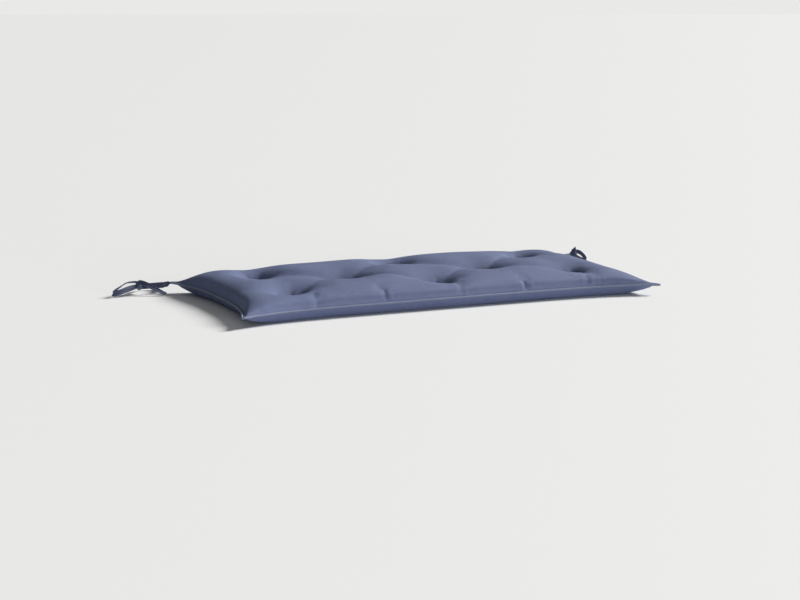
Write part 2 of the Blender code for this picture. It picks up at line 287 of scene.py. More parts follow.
def makeRumple():
    # faint dents and soft ridges of cloth that has been sat on
    group, inside, out = newGroup(
        "rumple",
        [("Vector", "NodeSocketVector", None), ("Size", "NodeSocketFloat", 0.03)],
        [("Height", "NodeSocketFloat")],
    )
    scale = mathNode(group, "DIVIDE", 1.0, inside.outputs["Size"])
    broad = noiseNode(group, inside.outputs["Vector"], scale, 3.0, 0.55)
    longer = stretched(group, inside.outputs["Vector"], (1.0, rumpling["alongY"], 1.0))
    drawn = noiseNode(group, longer, scale, 1.0, 0.4)
    away = mathNode(group, "SUBTRACT", drawn, 0.5)
    squared = mathNode(group, "MULTIPLY_ADD", away, away, rumpling["ridgeSoftness"])
    ridge = mathNode(group, "SQRT", squared)
    group.links.new(mathNode(group, "ADD", broad, ridge), out.inputs["Height"])
    return group


weaveGroup = makeWeave()
fadingAndHighlightGroup = makeFadingAndHighlight()
rumpleGroup = makeRumple()


def clothMaterial(name, look):
    material = bpy.data.materials.new(name)
    material.use_nodes = True
    tree = material.node_tree
    shader = tree.nodes["Principled BSDF"]
    uv = tree.nodes.new("ShaderNodeUVMap")
    uv.uv_map = look["uv"]
    spot = tree.nodes.new("ShaderNodeTexCoord")
    # its wear attribute holds real wear and, on the body's crests and the piping's top, a painted highlight
    wearAndHighlight = tree.nodes.new("ShaderNodeAttribute")
    wearAndHighlight.attribute_name = "wearAndHighlight"
    weave = tree.nodes.new("ShaderNodeGroup")
    weave.node_tree = weaveGroup
    weave.inputs["Threads per metre"].default_value = look["threadsPerMetre"]
    tree.links.new(uv.outputs["UV"], weave.inputs["Vector"])
    fadingAndHighlight = tree.nodes.new("ShaderNodeGroup")
    fadingAndHighlight.node_tree = fadingAndHighlightGroup
    fadingAndHighlight.inputs["Colour"].default_value = (*look["colour"], 1.0)
    fadingAndHighlight.inputs["Faded colour"].default_value = (*look["fadedColour"], 1.0)
    tree.links.new(spot.outputs["Object"], fadingAndHighlight.inputs["Vector"])
    tree.links.new(wearAndHighlight.outputs["Fac"], fadingAndHighlight.inputs["WearAndHighlight"])
    tree.links.new(weave.outputs["Thread"], fadingAndHighlight.inputs["Thread"])
    tree.links.new(fadingAndHighlight.outputs["Colour"], shader.inputs["Base Color"])
    rough = mapRange(tree, fadingAndHighlight.outputs["Mask"], 0.0, 1.0, look["roughness"], look["roughness"] + 0.1)
    tree.links.new(rough, shader.inputs["Roughness"])
    rumple = tree.nodes.new("ShaderNodeGroup")
    rumple.node_tree = rumpleGroup
    rumple.inputs["Size"].default_value = look["rumpleSize"]
    tree.links.new(spot.outputs["Object"], rumple.inputs["Vector"])
    dents = tree.nodes.new("ShaderNodeBump")
    dents.inputs["Strength"].default_value = 1.0
    dents.inputs["Distance"].default_value = look["rumpleDepth"]
    tree.links.new(rumple.outputs["Height"], dents.inputs["Height"])
    bump = tree.nodes.new("ShaderNodeBump")
    bump.inputs["Strength"].default_value = look["bumpStrength"]
    bump.inputs["Distance"].default_value = look["threadDepth"]
    tree.links.new(weave.outputs["Height"], bump.inputs["Height"])
    tree.links.new(dents.outputs["Normal"], bump.inputs["Normal"])
    tree.links.new(bump.outputs["Normal"], shader.inputs["Normal"])
    shader.inputs["Sheen Weight"].default_value = look["sheen"]
    shader.inputs["Sheen Roughness"].default_value = look["sheenRoughness"]
    shader.inputs["Sheen Tint"].default_value = (*look["sheenTint"], 1.0)
    shader.inputs["Specular IOR Level"].default_value = look["specular"]
    material.diffuse_color = (*look["colour"], 1.0)
    return material


# the cushion's body: two panels with filling between them

cushion = {
    "halfLength": 0.5007,       # from the middle to the pointed ends of the seam line
    "halfDepth": 0.2507,
    "longPull": 0.042,          # how far the filling draws in a long edge
    "shortPull": 0.040,
    "longPower": 5.5,
    "shortPower": 2.7,
    "seamHeight": 0.0225,
    "rimInset": 0.0016,         # from the piping's middle line, so the rim is sewn into it
    "rimHalf": 0.0010,
    "cellsLong": 180,
    "cellsDeep": 90,
    "softening": 8,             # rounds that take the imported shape's flats away
    "tufts": [
        (-0.34, -0.115), (0.0, -0.115), (0.34, -0.115),
        (-0.17, 0.0), (0.17, 0.0),
        (-0.34, 0.115), (0.0, 0.115), (0.34, 0.115),
    ],
}
clothLook = {
    "uv": "cloth",
    "threadsPerMetre": 1500.0,
    "threadDepth": 0.00035,
    "bumpStrength": 0.6,
    "rumpleSize": 0.035,
    "rumpleDepth": 0.0016,
    "colour": (0.120, 0.146, 0.268),
    # the pale colour that faded patches, worn places and the painted highlight on the crests mix towards
    "fadedColour": (0.195, 0.232, 0.378),
    "roughness": 0.70,
    "sheen": 0.16,
    "sheenRoughness": 0.40,
    "sheenTint": (0.62, 0.74, 1.0),
    "specular": 0.22,
}


def backRim(x, inset):
    # how far back the seam lies at this x, less an inset across the seam
    pull, power = cushion["longPull"], cushion["longPower"]
    t = abs(x) / cushion["halfLength"]
    slope = pull * power * t ** (power - 1) / cushion["halfLength"]
    drawn = pull * (1 - t ** power)
    return cushion["halfDepth"] - drawn - inset * math.hypot(1, slope)


def sideRim(y, inset):
    pull, power = cushion["shortPull"], cushion["shortPower"]
    t = abs(y) / cushion["halfDepth"]
    slope = pull * power * t ** (power - 1) / cushion["halfDepth"]
    drawn = pull * (1 - t ** power)
    return cushion["halfLength"] - drawn - inset * math.hypot(1, slope)


bodyTip = Vector(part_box("cushion_body")[1][:2])


def planPoint(u, v):
    inset = cushion["rimInset"]
    return u * sideRim(v * bodyTip.y, inset), v * backRim(u * bodyTip.x, inset)


def mapCloth(panel):
    # the weave follows the cloth: its lengths are measured along the rows and columns
    rows, columns = cushion["cellsDeep"] + 1, cushion["cellsLong"] + 1
    grid = points(panel).reshape(rows, columns, 3)
    alongX = np.zeros((rows, columns))
    alongY = np.zeros((rows, columns))
    alongX[:, 1:] = np.cumsum(np.linalg.norm(np.diff(grid, axis=1), axis=2), axis=1)
    alongY[1:, :] = np.cumsum(np.linalg.norm(np.diff(grid, axis=0), axis=2), axis=0)
    alongX -= alongX[:, columns // 2:columns // 2 + 1]
    alongY -= alongY[rows // 2:rows // 2 + 1, :]
    places = np.stack((alongX.ravel(), alongY.ravel()), axis=1)
    corners = np.empty(len(panel.data.loops), dtype=np.int32)
    panel.data.loops.foreach_get("vertex_index", corners)
    panel.data.uv_layers["cloth"].data.foreach_set("uv", places[corners].ravel())


def makePanel(name, seen, surface):
    # one panel of cloth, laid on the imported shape
    bpy.ops.object.select_all(action="DESELECT")
    bpy.ops.mesh.primitive_grid_add(
        x_subdivisions=cushion["cellsLong"], y_subdivisions=cushion["cellsDeep"], size=2,
    )
    panel = bpy.context.object
    panel.name = name
    panel.data.uv_layers[0].name = "cloth"
    inside = panel.vertex_groups.new(name="inside")
    rimHeight = cushion["seamHeight"] + seen * cushion["rimHalf"]
    for vertex in panel.data.vertices:
        u, v = vertex.co.x, vertex.co.y
        x, y = planPoint(u, v)
        onRim = max(abs(u), abs(v)) > 0.9999
        hit = surface.ray_cast(Vector((x, y, 0.2 * seen)), Vector((0, 0, -seen)))[0]
        height = rimHeight if onRim or hit is None else hit.z
        vertex.co = (x, y, height)
        if not onRim:
            inside.add([vertex.index], 1.0, "REPLACE")
    mapCloth(panel)
    return panel


def makeBody():
    surface = BVHTree.FromObject(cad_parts["cushion_body"], bpy.context.evaluated_depsgraph_get())
    top = makePanel("topPanel", 1, surface)
    under = makePanel("underPanel", -1, surface)
    soften = top.modifiers.new("soften", "SMOOTH")
    soften.factor = 0.5
    soften.iterations = cushion["softening"]
    soften.use_x = soften.use_y = False
    soften.vertex_group = "inside"
    applyModifier(top, soften)
    body = joinAll([top, under], "bench_cushion_body")
    activate(body)
    bpy.ops.object.mode_set(mode="EDIT")
    bpy.ops.mesh.select_mode(type="EDGE")
    bpy.ops.mesh.select_all(action="DESELECT")
    bpy.ops.mesh.select_non_manifold()
    bpy.ops.mesh.bridge_edge_loops()
    bpy.ops.mesh.select_all(action="SELECT")
    bpy.ops.mesh.normals_make_consistent(inside=False)
    bpy.ops.object.mode_set(mode="OBJECT")
    return body


body = makeBody()
print("panels laid", len(body.data.vertices))


# the piping, along the seam and round the tips of the four ears

piping = {
    "radius": 0.0022,
    "step": 0.003,
    "sides": 12,
    "earRadius": 0.003,
    "earSteps": 10,
    "backSlope": 0.42,          # of the seam where it reaches an ear
    "sideSlope": 0.41,
    # how much paler the cord's upper half is: partly rub wear, partly a painted highlight
    "rubbed": 0.55,
}
pipingLook = {
    "uv": "cord",
    "threadsPerMetre": 1500.0,
    "threadDepth": 0.00030,
    "bumpStrength": 0.6,
    "rumpleSize": 0.012,
    "rumpleDepth": 0.0005,
    "colour": (0.150, 0.175, 0.270),
    # also the pale colour of the painted highlight on the cord's upper half
    "fadedColour": (0.290, 0.320, 0.420),
    "roughness": 0.66,
    "sheen": 0.30,
    "sheenRoughness": 0.40,
    "sheenTint": (0.62, 0.74, 1.0),
    "specular": 0.35,
}


def seamLine(step):
    radius, steps = piping["earRadius"], piping["earSteps"]
    x, y = cushion["halfLength"], cushion["halfDepth"]
    for _ in range(30):    # the ear's middle settles one radius in from both edges
        y = backRim(x, radius)
        x = sideRim(y, radius)
    first = -math.atan2(piping["sideSlope"], 1)
    last = math.pi / 2 + math.atan2(piping["backSlope"], 1)
    sideEnd = y + radius * math.sin(first)
    backEnd = x + radius * math.cos(last)
    count = round(sideEnd / step)
    quarter = [(sideRim(sideEnd * k / count, 0), sideEnd * k / count) for k in range(count)]
    for k in range(steps + 1):
        angle = first + (last - first) * k / steps
        quarter.append((x + radius * math.cos(angle), y + radius * math.sin(angle)))
    count = round(backEnd / step)
    for k in range(1, count + 1):
        along = backEnd * (1 - k / count)
        quarter.append((along, backRim(along, 0)))
    line = list(quarter)
    line += [(-px, py) for px, py in quarter[-2::-1]]
    line += [(-px, -py) for px, py in quarter[1:]]
    line += [(px, -py) for px, py in quarter[-2:0:-1]]
    return line


def makeTube(name, line, radius, sides, closed):
    # a tube of rings along a line, with its own length and girth in its UV map
    mesh = bmesh.new()
    uvLayer = mesh.loops.layers.uv.new("cord")
    rings = []
    travelled = [0.0]
    count = len(line)
    for k in range(1, count + (1 if closed else 0)):
        travelled.append(travelled[-1] + (line[k % count] - line[k - 1]).length)
    for k, point in enumerate(line):
        before = line[k - 1] if closed or k else point
        after = line[(k + 1) % count] if closed or k < count - 1 else point
        along = (after - before).normalized()
        side = along.cross(Vector((0, 0, 1))).normalized()
        up = side.cross(along)
        ring = []
        for j in range(sides):
            angle = math.pi + 2 * math.pi * j / sides    # its join lies against the body
            ring.append(mesh.verts.new(point + (side * math.cos(angle) + up * math.sin(angle)) * radius))
        rings.append(ring)
    girth = 2 * math.pi * radius
    bias = 0.7071    # its cloth is cut at 45 degrees
    for k in range(count if closed else count - 1):
        for j in range(sides):
            here, ahead, turned = rings[k], rings[(k + 1) % count], (j + 1) % sides
            face = mesh.faces.new((here[j], here[turned], ahead[turned], ahead[j]))
            spots = ((k, j), (k, j + 1), (k + 1, j + 1), (k + 1, j))
            for loop, (step, turn) in zip(face.loops, spots):
                along, around = travelled[step], turn * girth / sides
                loop[uvLayer].uv = ((along + around) * bias, (along - around) * bias)
    if not closed:
        mesh.faces.new(rings[0][::-1])
        mesh.faces.new(rings[-1])
    bmesh.ops.recalc_face_normals(mesh, faces=mesh.faces)
    data = bpy.data.meshes.new(name)
    mesh.to_mesh(data)
    mesh.free()
    data.shade_smooth()
    made = bpy.data.objects.new(name, data)
    scene.collection.objects.link(made)
    return made


def makePiping():
    line = [Vector((x, y, cushion["seamHeight"])) for x, y in seamLine(piping["step"])]
    made = makeTube("edge_piping_cord", line, piping["radius"], piping["sides"], True)
    # the upper half of the cord is painted paler: partly rub wear, partly a painted highlight along the seam
    rubAndHighlight = [
        piping["rubbed"] * smoothStep((vertex.co.z - cushion["seamHeight"]) / piping["radius"])
        for vertex in made.data.vertices
    ]
    setFloats(made, "wearAndHighlight", rubAndHighlight)
    made.data.materials.append(clothMaterial("piping_cloth", pipingLook))
    return made


edgePiping = makePiping()
print("piping sewn")


# the filling swells the cloth, and the thread and the seam hold it down

swelling = {
    "frames": 14,
    "pressure": 2.5,
    "quality": 5,
    "slack": 0.004,         # spare cloth that becomes the wrinkles
    "cap": 0.008,
    "bulk": 0.25,           # share of the broad swelling that is kept
    "wrinkles": 0.5,        # share of the wrinkles
    "heldRound": 0.007,     # round each tuft
    "heldRim": 0.004,
    "underside": 0.003,     # what lies lower than this stays on the surface
    "calming": 2,           # rounds that even the movement out
    "broadness": 40,        # rounds that leave only the broad swelling
}


def toSeam(x, y):
    return min(sideRim(y, 0) - abs(x), backRim(x, 0) - abs(y))


def nearestTuft(x, y):
    return min(math.hypot(x - tuftX, y - tuftY) for tuftX, tuftY in cushion["tufts"])


def relaxed(values, edges, rounds):
    # each point's value drifts to that of its neighbours
    counts = np.bincount(edges.ravel(), minlength=len(values))[:, None]
    for _ in range(rounds):
        sums = np.zeros_like(values)
        np.add.at(sums, edges[:, 0], values[edges[:, 1]])
        np.add.at(sums, edges[:, 1], values[edges[:, 0]])
        values = 0.5 * values + 0.5 * sums / counts
    return values


def swellBody():
    start = points(body)
    held = body.vertex_groups.new(name="held")
    for vertex in body.data.vertices:
        x, y, z = vertex.co
        onRim = toSeam(x, y) < swelling["heldRim"]
        if z < swelling["underside"] or onRim or nearestTuft(x, y) < swelling["heldRound"]:
            held.add([vertex.index], 1.0, "REPLACE")
    cloth = body.modifiers.new("filling", "CLOTH")
    cloth.point_cache.frame_end = swelling["frames"] + 1
    settings = cloth.settings
    settings.quality = swelling["quality"]
    settings.use_pressure = True
    settings.uniform_pressure_force = swelling["pressure"]
    settings.effector_weights.gravity = 0
    settings.vertex_group_mass = "held"
    settings.shrink_min = -swelling["slack"]
    for step in range(1, swelling["frames"] + 1):
        scene.frame_set(step)
    applyModifier(body, cloth)
    scene.frame_set(1)
    moved = points(body) - start
    length = np.linalg.norm(moved, axis=1, keepdims=True)
    moved *= np.minimum(1.0, swelling["cap"] / np.maximum(length, 1e-9))
    edges = np.array([edge.vertices[:] for edge in body.data.edges])
    moved = relaxed(moved, edges, swelling["calming"])
    broad = relaxed(moved, edges, swelling["broadness"])
    ended = start + swelling["bulk"] * broad + swelling["wrinkles"] * (moved - broad)
    still = start[:, 2] < swelling["underside"]
    ended[still] = start[still]
    ended[:, 2] = np.maximum(ended[:, 2], 0.0)
    body.data.vertices.foreach_set("co", ended.ravel())
    body.data.update()


swellBody()
print("filling swollen")


# creases that the photo shows, pressed in after the swelling

seamGroove = {
    "depth": 0.0016,
    "from": 0.0058,         # its middle, measured in from the piping's middle line
    "halfWidth": 0.0022,
    "gather": 0.0002,       # small gathers that the sewing leaves beside the piping
    "gatherReach": 0.016,
    "gatherTurn": 520,      # radians of its wave per metre
    "clear": 0.0025,        # nothing is pressed in nearer to the piping than this
    "fadeIn": 0.003,
    "offFloor": 0.004,
}
tuftPinch = {
    "depth": 0.0065,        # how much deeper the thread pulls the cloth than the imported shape
    "reach": 0.015,
    "slot": 1.5,            # longer along X than across
    "pleat": 0.0010,
    "pleatFrom": 0.004,
    "pleatReach": 0.030,
    "pleats": 6,
    "sharpness": 1.2,
}
creaseShape = {
    "runIn": 0.18,          # share of its line over which it starts
    "runOut": 0.35,
    "sharpness": 1.3,
    "lip": 0.30,
    "lipPlace": 1.9,        # in half widths
}
creases = [
    # depth, half width, and the line it follows
    (0.0009, 0.0060, [(-0.312, -0.172), (-0.318, -0.192), (-0.3205, -0.2075)]),
    (0.0010, 0.0060, [(0.012, -0.118), (0.028, -0.124), (0.022, -0.160), (0.019, -0.184), (0.0176, -0.203)]),
    (0.0009, 0.0060, [(0.346, -0.118), (0.350, -0.158), (0.338, -0.190), (0.333, -0.207)]),
    (0.0012, 0.0055, [(0.030, 0.030), (0.060, 0.006), (0.085, -0.018), (0.115, -0.052)]),
    (0.0009, 0.0055, [(0.050, 0.040), (0.080, 0.014), (0.104, -0.012), (0.130, -0.044)]),
    (0.0018, 0.0045, [(-0.1585, -0.184), (-0.161, -0.200), (-0.158, -0.2065)]),
    (0.0020, 0.0045, [(0.1755, -0.190), (0.1767, -0.2026), (0.183, -0.2065)]),
    (0.0010, 0.0050, [(-0.405, -0.095), (-0.372, -0.100), (-0.345, -0.112)]),
    (0.0014, 0.0100, [(-0.160, 0.006), (-0.100, 0.050), (-0.040, 0.090)]),
    (0.0010, 0.0100, [(-0.330, -0.110), (-0.290, -0.085), (-0.245, -0.055), (-0.200, -0.020)]),
    (0.0010, 0.0100, [(0.010, -0.110), (0.060, -0.075), (0.120, -0.035)]),
    (0.0014, 0.0100, [(0.180, 0.006), (0.230, 0.045), (0.300, 0.090)]),
]


def pressedBy(x, y):
    # how far the cloth goes in at this spot, with a low lip beside each crease
    total = 0.0
    for depth, width, line in creases:
        best, share = 1.0, 0.0
        for k, (one, two) in enumerate(zip(line, line[1:])):
            away, along = fromLine(x, y, one, two)
            if away < best:
                best, share = away, (k + along) / (len(line) - 1)
        if best > 4 * width:
            continue
        intoSeam = line[-1][1] < -0.2    # it runs on to the front seam
        ending = 1.0 if intoSeam else smoothStep((1 - share) / creaseShape["runOut"])
        strength = smoothStep(share / creaseShape["runIn"]) * ending
        groove = math.exp(-((best / width) ** creaseShape["sharpness"]))
        beside = (best - creaseShape["lipPlace"] * width) / width
        lip = creaseShape["lip"] * math.exp(-(beside ** 2))
        total += depth * strength * (groove - lip)
    return total


# finish of the body

clothFinish = {
    "softening": 3,
    "topFrom": 0.002,       # above the seam
    "rimWear": 0.18,
    "rimReach": 0.012,
    # painted highlight: how much paler the cushion's high crests are made
    "crownHighlight": 0.10,
    "crownFrom": 0.045,
    "crownReach": 0.02,
}


def besideTuft(x, y):
    # the thread's pinch at the bottom of a tuft, with pleats that run out from it
    total = 0.0
    for k, (tuftX, tuftY) in enumerate(cushion["tufts"]):
        dx, dy = x - tuftX, y - tuftY
        away = math.hypot(dx, dy)
        if away > 4 * tuftPinch["pleatReach"]:
            continue
        inSlot = math.hypot(dx / tuftPinch["slot"], dy) / tuftPinch["reach"]
        total += tuftPinch["depth"] * math.exp(-(inSlot ** tuftPinch["sharpness"]))
        turn = math.atan2(dy, dx)
        pleats = tuftPinch["pleats"]    # turned a little further at each tuft
        ripple = math.sin(pleats * turn + 1.7 * k) + 0.5 * math.sin((2 * pleats - 1) * turn + 2.3 * k)
        rise = smoothStep((away - tuftPinch["pleatFrom"]) / (2 * tuftPinch["pleatFrom"]))
        total += tuftPinch["pleat"] * ripple * rise * math.exp(-((away / tuftPinch["pleatReach"]) ** 2))
    return total


def besideSeam(x, y):
    # a narrow groove by the piping, and gathers that fade inwards
    away = toSeam(x, y)
    groove = seamGroove["depth"] * math.exp(-(((away - seamGroove["from"]) / seamGroove["halfWidth"]) ** 2))
    along = x if backRim(x, 0) - abs(y) < sideRim(y, 0) - abs(x) else y
    drift = 2.1 * math.sin(along * 61)
    strength = 0.6 + 0.4 * math.sin(along * 37 + 1.0)
    wave = math.sin(along * seamGroove["gatherTurn"] + drift) * strength
    return groove + seamGroove["gather"] * wave * math.exp(-((away / seamGroove["gatherReach"]) ** 2))


def finishBody():
    aboveSeam = cushion["seamHeight"] + cushion["rimHalf"]
    top = [polygon.index for polygon in body.data.polygons if polygon.center.z > aboveSeam]
    activate(body)
    bpy.ops.object.mode_set(mode="EDIT")
    bpy.ops.mesh.select_mode(type="FACE")
    bpy.ops.mesh.select_all(action="DESELECT")
    bpy.ops.object.mode_set(mode="OBJECT")
    for index in top:
        body.data.polygons[index].select = True
    bpy.ops.object.mode_set(mode="EDIT")
    bpy.ops.mesh.subdivide(number_cuts=1, smoothness=0.0)
    bpy.ops.object.mode_set(mode="OBJECT")
    soften = body.modifiers.new("soften", "SMOOTH")
    soften.factor = 0.5
    soften.iterations = clothFinish["softening"]
    soften.vertex_group = "inside"
    applyModifier(body, soften)
    body.data.shade_smooth()
    normals = [vertex.normal.copy() for vertex in body.data.vertices]
    wearAndHighlight = []
    for vertex, normal in zip(body.data.vertices, normals):
        x, y, z = vertex.co
        away = toSeam(x, y)
        inwards = besideSeam(x, y) * smoothStep(z / seamGroove["offFloor"])
        if z > cushion["seamHeight"] + clothFinish["topFrom"]:
            inwards += pressedBy(x, y) + besideTuft(x, y)
        vertex.co -= normal * (inwards * smoothStep((away - seamGroove["clear"]) / seamGroove["fadeIn"]))
        # the rim by the seam is paler from wear; the high crests are painted paler as a highlight
        rim = smoothStep(1 - away / clothFinish["rimReach"])
        crown = smoothStep((z - clothFinish["crownFrom"]) / clothFinish["crownReach"])
        wearAndHighlight.append(clothFinish["rimWear"] * rim + clothFinish["crownHighlight"] * crown)
    setFloats(body, "wearAndHighlight", wearAndHighlight)
    body.data.materials.clear()
    body.data.materials.append(clothMaterial("cushion_cloth", clothLook))


finishBody()
print("body finished")


# the thread of each tuft, above and below

tack = {
    "length": 0.0120,
    "radius": 0.00065,
    "rise": 0.0034,         # from the bottom of the tuft
    "dive": 0.0040,         # how far its ends go down from there
    "turnEach": 23,         # degrees, from one tuft to the next
    "strands": [(0.0011, 7), (0.0, -2), (-0.0011, -9)],    # sideways place, and turn in degrees
    "steps": 8,
    "sides": 8,
    "rubbed": 0.1,
}
threadLook = {
    "uv": "cord",
    "threadsPerMetre": 2600.0,
    "threadDepth": 0.00020,
    "bumpStrength": 0.5,
    "rumpleSize": 0.004,
    "rumpleDepth": 0.0002,
    "colour": (0.070, 0.085, 0.165),
    "fadedColour": (0.130, 0.150, 0.250),
    "roughness": 0.55,
    "sheen": 0.10,
    "sheenRoughness": 0.40,
    "sheenTint": (0.62, 0.74, 1.0),
    "specular": 0.40,
}


def makeTacks():
    surface = BVHTree.FromObject(body, bpy.context.evaluated_depsgraph_get())
    strands = []
    for k, (tuftX, tuftY) in enumerate(cushion["tufts"]):
        for facing in (1, -1):
            base = surface.ray_cast(Vector((tuftX, tuftY, 0.1 * facing)), Vector((0, 0, -facing)))[0]
            for sideways, turn in tack["strands"]:
                angle = math.radians(turn + tack["turnEach"] * k)
                line = []
                for j in range(tack["steps"] + 1):
                    share = 2 * j / tack["steps"] - 1
                    along = share * tack["length"] / 2
                    x = tuftX + along * math.cos(angle) - sideways * math.sin(angle)
                    y = tuftY + along * math.sin(angle) + sideways * math.cos(angle)
                    lift = tack["rise"] - tack["dive"] * share ** 4
                    line.append(Vector((x, y, max(base.z + facing * lift, tack["radius"]))))
                name = f"strand{len(strands)}"
                strands.append(makeTube(name, line, tack["radius"], tack["sides"], False))
    threads = joinAll(strands, "tuft_threads")
    setFloats(threads, "wearAndHighlight", [tack["rubbed"]] * len(threads.data.vertices))
    threads.data.materials.clear()
    threads.data.materials.append(clothMaterial("tuft_thread", threadLook))
    return threads


body = joinAll([body, makeTacks()], "bench_cushion_body")
print("tufts tacked")


# the two ties: flat tape, round an open space and into a bow

# points of a tape's middle line: outwards and backwards from the ear's tip, height, and turn,
# where 0 stands on its edge and 90 lies flat
tieTape = {
    "width": 0.013,
    "thickness": 0.0013,
    "step": 0.0012,
    "across": 8,
    "bulge": 0.0012,        # how far its edges lie back from its middle
    "waviness": 0.0003,
    "foldPlace": 0.12,      # as a share of the half width
    "foldWidth": 0.25,
    "edgeWear": 0.5,
    "gather": 0.007,        # length over which a gathered end opens out
    "front": [
        (-0.0030, -0.0026, 0.0222, 56), (0.0015, -0.0014, 0.0214, 40),
        (0.0050, -0.0036, 0.0202, 10), (0.0150, -0.0060, 0.0195, 2),
        (0.0300, -0.0065, 0.0195, 0), (0.0470, -0.0050, 0.0190, 0), (0.0640, 0.0030, 0.0190, 0),
    ],
    "back": [
        (-0.0030, -0.0026, 0.0216, 74), (0.0030, 0.0012, 0.0210, 72),
        (0.0085, 0.0065, 0.0185, 55), (0.0100, 0.0200, 0.0140, 15),
        (0.0120, 0.0350, 0.0110, 0), (0.0240, 0.0450, 0.0095, 0), (0.0470, 0.0450, 0.0095, 0),
        (0.0620, 0.0340, 0.0125, 0), (0.0670, 0.0180, 0.0170, 0),
    ],
    "knot": (0.0690, 0.0060, 0.0190),
    "knotRadii": (0.0080, 0.0100, 0.0086),
    "knotWear": 0.15,
    "rootPlace": 0.0056,    # of the tie's own zero, out from the corner of the body
    "outwards": (0.704, 0.710),
    "parts": [
        # name, its width at either end as a share, and its fold's depth
        ("front", 0.4, 0.8, 0.0017), ("back", 0.4, 0.8, 0.0),
        ("bow", 0.6, 0.8, 0.0), ("tail", 0.5, 1.0, 0.0006),
    ],
}
wrap = {
    "width": 0.0100,
    "lean": 18,
    "pleat": 0.00035,
    "pleatTurn": 5.5,       # radians of its wave over the half width
    "pleatDrift": 0.9,
    "uneven": 0.12,         # how much its width changes round the knot
    "crown": 0.0009,
    "clear": 0.0006,        # between the knot's core and the middle of the tape
    "hug": 0.17,            # how much its edges draw in
    "wearAndHighlight": 0.15,
    "edgeWear": 0.4,
}
leftTie = {
    "bow": [
        (0.0660, 0.0090, 0.0235, 50), (0.0810, 0.0080, 0.0270, 64), (0.1010, 0.0010, 0.0265, 68),
        (0.1190, -0.0080, 0.0185, 54), (0.1310, -0.0122, 0.0112, 32), (0.1358, -0.0164, 0.0088, 16),
        (0.1330, -0.0202, 0.0086, 8), (0.1190, -0.0195, 0.0122, 4), (0.1020, -0.0130, 0.0155, 16),
        (0.0830, -0.0050, 0.0182, 46), (0.0680, 0.0020, 0.0180, 56),
    ],
    "tail": [
        (0.0740, 0.0075, 0.0245, 40), (0.0690, -0.0010, 0.0272, 44), (0.0590, -0.0105, 0.0243, 50),
        (0.0460, -0.0220, 0.0170, 60),
        (0.0330, -0.0340, 0.0095, 72), (0.0220, -0.0430, 0.0036, 80),
    ],
}
rightTie = {
    "bow": [
        (0.0700, 0.0080, 0.0240, 10), (0.0800, 0.0060, 0.0275, 22), (0.0880, 0.0020, 0.0240, 30),
        (0.0945, -0.0040, 0.0160, 28), (0.0972, -0.0096, 0.0090, 22), (0.0974, -0.0124, 0.0078, 20),
        (0.0950, -0.0135, 0.0076, 20), (0.0890, -0.0110, 0.0084, 50), (0.0820, -0.0060, 0.0110, 66),
        (0.0760, 0.0000, 0.0150, 60), (0.0700, 0.0040, 0.0175, 30),
    ],
    "tail": [
        (0.0700, 0.0020, 0.0240, 80), (0.0715, 0.0065, 0.0315, 66), (0.0735, 0.0115, 0.0355, 56),
        (0.0770, 0.0180, 0.0325, 50), (0.0840, 0.0310, 0.0180, 62), (0.0930, 0.0480, 0.0045, 80),
    ],
}
tapeLook = {
    "uv": "cloth",
    "threadsPerMetre": 2400.0,
    "threadDepth": 0.00022,
    "bumpStrength": 0.6,
    "rumpleSize": 0.010,
    "rumpleDepth": 0.0006,
    "colour": (0.036, 0.043, 0.086),
    "fadedColour": (0.120, 0.140, 0.225),
    "roughness": 0.74,
    "sheen": 0.30,
    "sheenRoughness": 0.45,
    "sheenTint": (0.62, 0.74, 1.0),
    "specular": 0.30,
}


def edgeRub(share):
    return smoothStep((abs(share) - 0.6) / 0.4)


def smoothPath(rows, step):
    # an even, smooth line through the rows
    dense = []
    pieces = 40    # between two rows
    padded = [rows[0]] + rows + [rows[-1]]
    for k in range(len(rows) - 1):
        a, b, c, d = (Vector(row) for row in padded[k:k + 4])
        square, cube = 2 * a - 5 * b + 4 * c - d, 3 * b - a - 3 * c + d
        for j in range(pieces):
            t = j / pieces
            dense.append(0.5 * (2 * b + (c - a) * t + square * t * t + cube * t ** 3))
    dense.append(Vector(rows[-1]))
    travelled = [0.0]
    for one, two in zip(dense, dense[1:]):
        travelled.append(travelled[-1] + (two.xyz - one.xyz).length)
    count = max(round(travelled[-1] / step), 4)
    even = []
    k = 0
    for j in range(count + 1):
        want = travelled[-1] * j / count
        while k < len(travelled) - 2 and travelled[k + 1] < want:
            k += 1
        share = (want - travelled[k]) / max(travelled[k + 1] - travelled[k], 1e-9)
        even.append(dense[k].lerp(dense[k + 1], min(max(share, 0.0), 1.0)))
    return even, travelled[-1]


